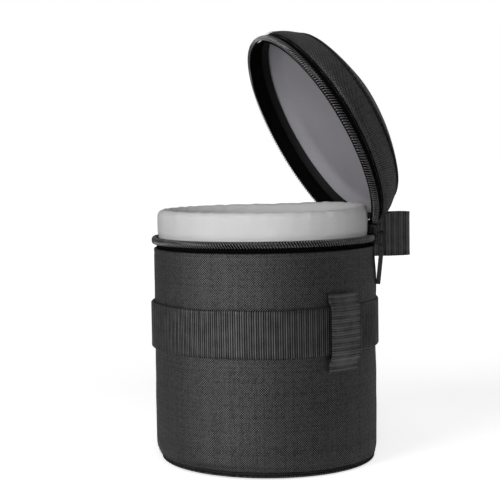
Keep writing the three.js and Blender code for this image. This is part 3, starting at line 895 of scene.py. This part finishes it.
def webbing_band():
    """Ribbed webbing round the body, a little loose and wavy along its edges."""
    ribs = round(math.tau * band.outside / RIB_PITCH)
    inside, outside, low, high = band.inside, band.outside, band.bottom, band.top
    profile = [
        (inside, low + BAND_EDGE), (inside + BAND_EDGE, low),
        (outside - BAND_EDGE, low), (outside, low + BAND_EDGE),
        *upright(outside, low + 2 * MM, high - 2 * MM, 6),
        (outside, high - BAND_EDGE), (outside - BAND_EDGE, high),
        (inside + BAND_EDGE, high), (inside, high - BAND_EDGE),
        (inside, low + BAND_EDGE),
    ]
    strap = turned("webbing_strap", profile, ribs * FACES_PER_RIB)

    def rib_at(azimuth):
        return rib_share(math.radians(azimuth) * ribs / math.tau)

    def ribbed(azimuth, radius, height):
        is_face = outside - radius < 0.1 * MM
        inset = min(height - low, high - height) / MM
        depth = RIB_DEPTH * is_face * clamped(inset)
        sway = 0.5 * MM * soft(azimuth, 0, size=2.0, seed=17)
        return azimuth, radius + (rib_at(azimuth) - 1) * depth, height + sway

    note_ribs(strap, lambda place: rib_at(azimuth_of(place)))
    reshape(strap, ribbed)
    dressed(smooth(strap, 60), ribbed_webbing, "body", "webbing", "webbing_band")


def point_along(path, share):
    """A point on a path, by share of the path's length, and that length."""
    lengths = lengths_along(path)
    distance = share * lengths[-1]
    i = 0
    while i < len(path) - 2 and distance > lengths[i + 1]:
        i += 1
    part = (distance - lengths[i]) / (lengths[i + 1] - lengths[i])
    (a, b), (c, d) = path[i], path[i + 1]
    return (a + (c - a) * part, b + (d - b) * part), lengths[-1]


def side_tab(node):
    """A webbing tab sewn flat below and above the band, and bowed over it."""
    part = Round(node)
    low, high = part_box(node)
    azimuth = azimuth_of((low + high) / 2)
    outward, sideways = at(azimuth, 1, 0), at(azimuth + 90, 1, 0)
    flat, over = part.inside + 1.5 * MM, part.outside
    corners = [
        (flat, low.z), (flat, low.z + TAB_SEAM), (over, band.bottom - 0.5 * MM),
        (over, band.top + 0.5 * MM), (flat, high.z - TAB_SEAM * 0.8), (flat, high.z),
    ]
    ribs = round((high.z - low.z) / RIB_PITCH)

    def place(share):
        blurred = [point_along(corners, clamped(share + by))[0][0] for by in TAB_SOFTENING]
        (_, height), length = point_along(corners, share)
        return at(azimuth, sum(blurred) / len(blurred), height), outward, sideways, length

    tab = strip(node + "_webbing", place, TAB_WIDTH, ribs, RIB_DEPTH, TAB_CLOTH, 14)
    for vertex in tab.data.vertices:
        reach, offset = vertex.co.dot(outward), vertex.co.dot(sideways)
        vertex.co += outward * (math.sqrt(max(0, reach ** 2 - offset ** 2)) - reach)
    dressed(smooth(tab, 60), ribbed_webbing, "body", "webbing", node)


def hang_loop():
    """A webbing loop folded back on itself, open at its bulge and sewn flat at its root."""
    low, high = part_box("hang_loop")
    half = high.x - 0.1 * MM
    narrow = LOOP_CLOTH + 0.1 * MM
    root = low.y
    sewn_end = root + LOOP_SEAM
    end = high.y - half - 0.7 * MM
    bulge = (sewn_end + end) / 2
    side = [(narrow, root), (narrow, sewn_end)]
    side += [
        (narrow + (half - narrow) * ease(share), sewn_end + (bulge - sewn_end) * share)
        for share in steps_between(0.15, 1, 8)
    ]
    bow = arc((0, end), (half, half), range(0, 181, 12))
    path = side + bow + [(-x, y) for x, y in reversed(side)]
    height, middle = high.z - low.z, (low.z + high.z) / 2
    ribs = round(lengths_along(path)[-1] / LOOP_RIB_PITCH)

    def place(share):
        (x, y), length = point_along(path, share)
        (next_x, next_y), _ = point_along(path, min(1, share + HEADING_STEP))
        (last_x, last_y), _ = point_along(path, max(0, share - HEADING_STEP))
        heading = Vector((next_x - last_x, next_y - last_y, 0)).normalized()
        outward = Vector((heading.y, -heading.x, 0))
        return Vector((x, y, middle)), outward, Vector((0, 0, 1)), length

    loop = strip("hang_loop_webbing", place, height, ribs, LOOP_RIB_DEPTH, LOOP_CLOTH, 12)
    for vertex in loop.data.vertices:
        away = clamped((vertex.co.y - root) / LOOP_SHOULDER)
        upper = (vertex.co.z - low.z) / height
        vertex.co.z -= LOOP_ROOT_DROP * (1 - away) ** 1.5 * upper ** 2
    dressed(smooth(loop, 60), ribbed_webbing, "body", "webbing", "hang_loop")


# Lid, modelled shut

BACK_INSET = 3.6 * MM
BACK_RISE = 1.9 * MM
LINING_BACK_INSET = 3.0 * MM
WALL_LEAN = 2
LID_RADIUS = lid_wall.outside
SEAM_RADIUS = lid_panel.outside
LID_FOOT = lid_wall.bottom
LID_SEAM = lid_wall.top
LID_RISE = LID_SEAM - LID_FOOT

# Shares of the wall's height, and how far its lowest rows are drawn in, in millimetres
LID_WALL_UPS = [0, 0.03, 0.08, 0.14, 0.2, 0.3, 0.4, 0.5, 0.6, 0.7, 0.78, 0.85, 0.9, 0.95, 1]
LID_HEM = (1.5, 1.0, 0.55, 0.4, 0.1)
LID_HEM_FOLD = 0.8 * MM

# Shares of the edge's radius
CROWN_SHARES = [1, 0.985, 0.96, 0.93, 0.89, 0.84, 0.78, 0.7, 0.6, 0.5, 0.4, 0.3, 0.2, 0.1, 0]
CROWN_LIP = 1.3 * MM
CROWN_THICK = 1.8 * MM
LINING_SHARES = [0.97, 0.94, 0.9, 0.85, *CROWN_SHARES[6:]]
SWELL = 0.9 * MM
BINDING_REACH = 0.4
BINDING_INSET = 1.95 * MM
LINING_INSET = 1.8 * MM
LINING_THICK = 0.5 * MM


def lid_wall_radius(azimuth, up):
    lean = (LID_RADIUS - SEAM_RADIUS) * up ** WALL_LEAN
    return LID_RADIUS - lean - BACK_INSET * back_share(azimuth) * (1 - up)


def lid_wall_line(ups, inset=0):
    """Profile points along the lid's wall, some way inside it, where it is round."""
    return [(lid_wall_radius(180, up) - inset, LID_FOOT + LID_RISE * up) for up in ups]


def back_lift(azimuth, up):
    """How far the lid's hem is raised over the hinge."""
    return BACK_RISE * min(1, 2 * back_share(azimuth)) * (1 - up)


def drawn_in(azimuth, radius, height, inset):
    """Draws a place in and up over the hinge. Gives its share of the wall's height too."""
    up = clamped((height - LID_FOOT) / LID_RISE)
    return up, radius - inset * back_share(azimuth) * (1 - up), height + back_lift(azimuth, up)


def lid_unevenness(azimuth, height, up):
    """How far the lid's wall and its lining stand out from a true round."""
    return 0.5 * MM * soft(azimuth, height, size=2.4, seed=23) * math.sin(math.pi * up)


def lid_side():
    """The lid's wall: woven cloth with a turned hem, leaning in to the seam of the top."""
    outer = lid_wall_line(LID_WALL_UPS)
    inner = [(radius - MM, height) for radius, height in reversed(outer)]
    for i, inset in enumerate(LID_HEM):
        outer[i] = (outer[i][0] - inset * MM, outer[i][1])
    inner[-1] = (inner[-1][0] - LID_HEM_FOLD, inner[-1][1])
    wall = turned("lid_wall", outer + inner + outer[:1], WALL_SIDES)

    def shaped(azimuth, radius, height):
        up, radius, height = drawn_in(azimuth, radius, height, BACK_INSET)
        return azimuth, radius + lid_unevenness(azimuth, height, up), height

    reshape(wall, shaped)
    opened(smooth(wall))
    dressed(wall, ballistic, "lid", "woven_cloth", "lid_sidewall", "lid_wall_foam")


def lid_crown():
    """The domed top, with its edge turned down into the seam."""
    base = LID_SEAM + 0.2 * MM
    rise = lid_panel.top - base
    edge = SEAM_RADIUS - 0.2 * MM
    inner = dome(edge, base, rise - CROWN_THICK, reversed(CROWN_SHARES[3:]))
    outer = [(edge, base)] + dome(edge, base + CROWN_LIP, rise - CROWN_LIP, CROWN_SHARES)
    crown = turned("lid_crown", inner + outer, WALL_SIDES)

    def dimpled(azimuth, radius, height):
        away = min(1, 4 * (1 - radius / edge))
        return azimuth, radius, height + SWELL * ripple(azimuth, radius, size=2.2, seed=31) * away

    lay_flat(crown)
    reshape(crown, dimpled)
    opened(smooth(crown))
    dressed(crown, ballistic, "lid", "woven_cloth", "lid_top_panel", "lid_top_foam")


def lid_seam_roll():
    """The rolled edge where the lid's wall and top are sewn together."""
    centre = (SEAM_RADIUS + 0.1 * MM, LID_SEAM + 0.5 * MM)
    profile = arc(centre, (0.55 * MM, 0.55 * MM), range(-180, 181, 30))
    roll = turned("lid_seam_roll", profile, WALL_SIDES)
    reshape(roll, lambda azimuth, radius, height: (
        azimuth, radius + 0.12 * MM * soft(azimuth, height, size=14, seed=41), height
    ))
    dressed(opened(smooth(roll, 70)), binding_cloth, "lid", "webbing", "lid_piping")


def eased_back(azimuth, radius, height):
    """Follows the lid's wall where it is drawn in over the hinge."""
    up, radius, height = drawn_in(azimuth, radius, height, LINING_BACK_INSET)
    uneven = lid_unevenness(azimuth, height, up) * between(40 * MM, 52 * MM, radius)
    return azimuth, radius + uneven, height


def lid_binding_with_painted_shade():
    """Black cloth along the lining's edge beside the zip. Its black is partly the binding's own
    colour and partly painted shade, where the inside of the lid's wall lies in shade.
    """
    inner = lid_wall_line(steps_between(0.02, BINDING_REACH, 5), BINDING_INSET)
    outer = [(radius + LINING_THICK, height) for radius, height in reversed(inner)]
    cloth = turned("lid_binding_with_painted_shade", inner + outer + inner[:1], WALL_SIDES)
    reshape(cloth, eased_back)
    opened(smooth(cloth, 60))
    dressed(cloth, binding_with_painted_shade, "lid", "zip_cloth")


def lid_lining():
    """Grey lining over the padding of the lid's wall and top. Its lower edge is turned over."""
    wall = lid_wall_line(steps_between(BINDING_REACH - 0.05, 0.8, 6), LINING_INSET)
    edge, foot = wall[-1]
    rise = lid_ceiling.top - 0.9 * MM - foot
    profile = wall[:1] + [(radius + LINING_THICK, height) for radius, height in wall]
    profile += [
        (radius, height + LINING_THICK) for radius, height in dome(edge, foot, rise, LINING_SHARES)
    ]
    lining = turned("lid_lining", profile, WALL_SIDES)

    def padded(azimuth, radius, height):
        azimuth, radius, height = eased_back(azimuth, radius, height)
        away = min(1, 4 * max(0, 1 - radius / edge))
        swell = SWELL * ripple(azimuth, radius, size=1.6, seed=53) * away
        wrinkle = 0.15 * MM * soft(azimuth, height, size=5, seed=53)
        return azimuth, radius + wrinkle * between(0.8, 1, radius / edge), height + swell

    lay_flat(lining)
    reshape(lining, padded)
    opened(smooth(lining, 60))
    dressed(
        lining, grey_lining, "lid", "grey_lining", "lid_ceiling_lining", "lid_wall_lining"
    )


# Hinge cloth

CLOTH_START, CLOTH_END = -21, 20
CLOTH_HALF = 0.4 * MM
HINGE_BEND = 3 * MM


def hinge_cloth():
    """One strip of cloth from the body's hem to the lid's: modelled shut, then bent open."""
    low, high = tape.bottom + MM, LID_FOOT + BACK_RISE + 1.5 * MM
    radius = tape.outside - 0.6 * MM
    section = upright(radius - CLOTH_HALF, low, high, 24)
    section += upright(radius + CLOTH_HALF, high, low, 24)
    cloth = arched("hinge_cloth", section, CLOTH_START, CLOTH_END, 32)
    start, end = hinge.z - HINGE_BEND, hinge.z + HINGE_BEND
    for vertex in cloth.data.vertices:
        vertex.co = about_hinge(-lid_opening * between(start, end, vertex.co.z)) @ vertex.co
    made_of(smooth(cloth, 60), binding_cloth)
    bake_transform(cloth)
    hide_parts("body_hinge_strip", "lid_hinge_strip")


# Stitching

STITCH_PITCH = 2.9 * MM
STITCH_LENGTH = 2.2 * MM
STITCH_THREAD = 0.42 * MM
STITCH_SLANT = Vector((0, 0, 0.08))
LID_STITCH_UPS = (0.14, 0.86, 0.95)


def stitch_model():
    bpy.ops.mesh.primitive_uv_sphere_add(segments=6, ring_count=5, radius=1)
    model = bpy.context.object
    model.rotation_euler.y = math.pi / 2
    model.scale = (STITCH_THREAD / 2, STITCH_THREAD / 2, STITCH_LENGTH / 2)
    bpy.ops.object.transform_apply(location=True, rotation=True, scale=True)
    return model


def sewn(name, places):
    """Short rounded threads, joined. Each place gives a point, a heading and an outward way."""
    model = stitch_model()
    corners = [vertex.co.copy() for vertex in model.data.vertices]
    faces = [tuple(face.vertices) for face in model.data.polygons]
    points, joined = [], []
    for point, heading, outward in places:
        across = outward.cross(heading).normalized()
        turn = Matrix((heading, across, outward)).transposed()
        first = len(points)
        points.extend(point + turn @ corner for corner in corners)
        joined.extend(tuple(first + v for v in face) for face in faces)
    mesh = bpy.data.meshes.new(name)
    mesh.from_pydata(points, [], joined)
    bpy.data.objects.remove(model)
    return smooth(placed(name, mesh), 80)


def round_row(radius_at, height):
    """Places for stitches, one row all round the pouch."""
    count = round(math.tau * radius_at(180) / STITCH_PITCH)
    for i in range(count):
        azimuth = 360 * (i + 0.5) / count
        signed = azimuth if azimuth <= 180 else azimuth - 360
        heading = (at(azimuth + 90, 1, 0) + STITCH_SLANT).normalized()
        yield at(azimuth, radius_at(signed), height), heading, at(azimuth, 1, 0)


def body_stitching():
    top = shell.top - STITCH_BELOW_HEM
    foot = WALL_FOOT + STITCH_BELOW_HEM
    places = list(round_row(
        lambda azimuth: shell.outside - 0.2 * MM + wall_softness(azimuth, top), top
    ))
    places += round_row(
        lambda azimuth: (
            shell.outside - 0.4 * MM + wall_softness(azimuth, foot) - foot_tuck(azimuth, foot)
        ),
        foot,
    )
    dressed(sewn("body_stitching", places), thread_nylon, "body", "webbing")


def lid_stitching():
    places = []
    for up in LID_STITCH_UPS:
        for point, heading, outward in round_row(
            lambda azimuth: lid_wall_radius(azimuth, up) + 0.05 * MM, LID_FOOT + LID_RISE * up
        ):
            point.z += back_lift(azimuth_of(point), up)
            places.append((point, heading, outward))
    dressed(opened(sewn("lid_stitching", places)), thread_nylon, "lid", "webbing")


# Slider, pull and stops keep their CAD shape

def metalwork():
    for node in ("slider_body", "pull_link", "zip_bottom_stop", "body_top_stop", "lid_top_stop"):
        made_of(nodes[node], gunmetal)
    made_of(nodes["pull_tab"], pull_rubber)


# Camera, floor and light

CAMERA_AZIMUTH = math.radians(72)
CAMERA_DISTANCE = 789.3 * MM
CAMERA_ASIDE = -7.88 * MM
CAMERA_HEIGHT = 176.4 * MM
CAMERA_PITCH = math.radians(4.23)
CAMERA_ROLL = math.radians(-0.89)
CAMERA_LENS = 100.8

toward = Vector((math.sin(CAMERA_AZIMUTH), -math.cos(CAMERA_AZIMUTH), 0))
rightward = Vector((math.cos(CAMERA_AZIMUTH), math.sin(CAMERA_AZIMUTH), 0))
upward = Vector((0, 0, 1))

# Each lamp's place as the camera sees it (aside, in front and up), its size, its power, and
# whether cloth mirrors it. The front lamp's gloss would flatten the weave.
LAMPS = {
    "key": ((-0.64, 0.78, 0.42), (0.45, 0.8), 6.4, True),
    "front": ((0.1, 1.0, 0.5), (0.5, 0.6), 3.6, False),
    "rim": ((0.8, -0.45, 0.4), (0.3, 0.7), 0.4, True),
    "top": ((0.05, 0.15, 1.0), (0.5, 0.5), 1.0, True),
}
LAMP_AIM = Vector((0, 0, 0.11))
FLOOR_SIZE = 20
FLOOR_DROP = 0.05 * MM
FLOOR_MIRRORED = 0.08
AMBIENT = 0.05


def camera():
    data = bpy.data.cameras.new("camera")
    data.lens = CAMERA_LENS
    eye = placed("camera", data)
    back = toward * math.cos(CAMERA_PITCH) + upward * math.sin(CAMERA_PITCH)
    up = upward * math.cos(CAMERA_PITCH) - toward * math.sin(CAMERA_PITCH)
    turn = Matrix((rightward, up, back)).transposed().to_4x4()
    place = toward * CAMERA_DISTANCE + rightward * CAMERA_ASIDE + upward * CAMERA_HEIGHT
    eye.matrix_world = Matrix.Translation(place) @ turn @ Matrix.Rotation(CAMERA_ROLL, 4, "Z")
    bpy.context.scene.camera = eye


def lamp(name, place, size, power, mirrored):
    """A soft box that faces the pouch's middle."""
    data = bpy.data.lights.new(name, "AREA")
    data.shape = "RECTANGLE"
    data.size, data.size_y = size
    data.energy = power
    light = placed(name, data)
    side, front, height = place
    light.location = rightward * side + toward * front + upward * height
    light.rotation_euler = (LAMP_AIM - light.location).to_track_quat("-Z", "Y").to_euler()
    light.visible_glossy = mirrored


def floor():
    """White. Near the pouch it takes a soft shadow, and further off it glows."""
    bpy.ops.mesh.primitive_plane_add(size=FLOOR_SIZE, location=(0, 0, -FLOOR_DROP))
    ground = bpy.context.object
    ground.name = "floor"
    material, tree, shader = blank_material("white_floor")
    shader.inputs["Base Color"].default_value = (0.9, 0.9, 0.9, 1)
    shader.inputs["Roughness"].default_value = 0.9
    shader.inputs["Specular IOR Level"].default_value = 0.1
    path = tree.nodes.new("ShaderNodeLightPath")
    place = tree.nodes.new("ShaderNodeTexCoord")
    away = tree.nodes.new("ShaderNodeVectorMath")
    away.operation = "LENGTH"
    tree.links.new(place.outputs["Object"], away.inputs[0])
    glow = mapped(tree, away.outputs["Value"], (0.25, 0.9), (0.7, 1.0))
    mirrored = times(tree, path.outputs["Is Glossy Ray"], FLOOR_MIRRORED)
    seen = math_node(tree, "MAXIMUM", path.outputs["Is Camera Ray"], mirrored)
    shader.inputs["Emission Color"].default_value = (1, 1, 1, 1)
    tree.links.new(times(tree, seen, glow), shader.inputs["Emission Strength"])
    ground.data.materials.append(material)


def world():
    """White where the camera looks past the pouch, dim where the cloth mirrors it."""
    sky = bpy.data.worlds.new("studio")
    bpy.context.scene.world = sky
    sky.use_nodes = True
    tree = sky.node_tree
    background = tree.nodes["Background"]
    background.inputs["Color"].default_value = (1, 1, 1, 1)
    path = tree.nodes.new("ShaderNodeLightPath")
    seen = math_node(
        tree, "MAXIMUM", path.outputs["Is Camera Ray"], path.outputs["Is Transmission Ray"]
    )
    direction = tree.nodes.new("ShaderNodeTexCoord")
    facing = tree.nodes.new("ShaderNodeVectorMath")
    facing.operation = "DOT_PRODUCT"
    facing.inputs[1].default_value = -toward
    tree.links.new(direction.outputs["Generated"], facing.inputs[0])
    backdrop = mapped(tree, facing.outputs["Value"], (0, 0.7), (0.03, 0.3))
    mirrored = times(tree, backdrop, path.outputs["Is Glossy Ray"])
    seen = math_node(tree, "MAXIMUM", seen, mirrored)
    lit = times(tree, math_node(tree, "SUBTRACT", 1.0, seen), AMBIENT)
    tree.links.new(plus(tree, seen, lit), background.inputs["Strength"])


def studio():
    bpy.context.scene.view_settings.view_transform = "Standard"
    camera()
    floor()
    world()
    for name, settings in LAMPS.items():
        lamp(name, *settings)


outer_wall()
base_panel()
base_binding()
padded_lining()
zip_chain()
webbing_band()
side_tab("side_tab_right")
side_tab("side_tab_left")
hang_loop()
lid_side()
lid_crown()
lid_seam_roll()
lid_binding_with_painted_shade()
lid_lining()
hinge_cloth()
body_stitching()
lid_stitching()
metalwork()
studio()
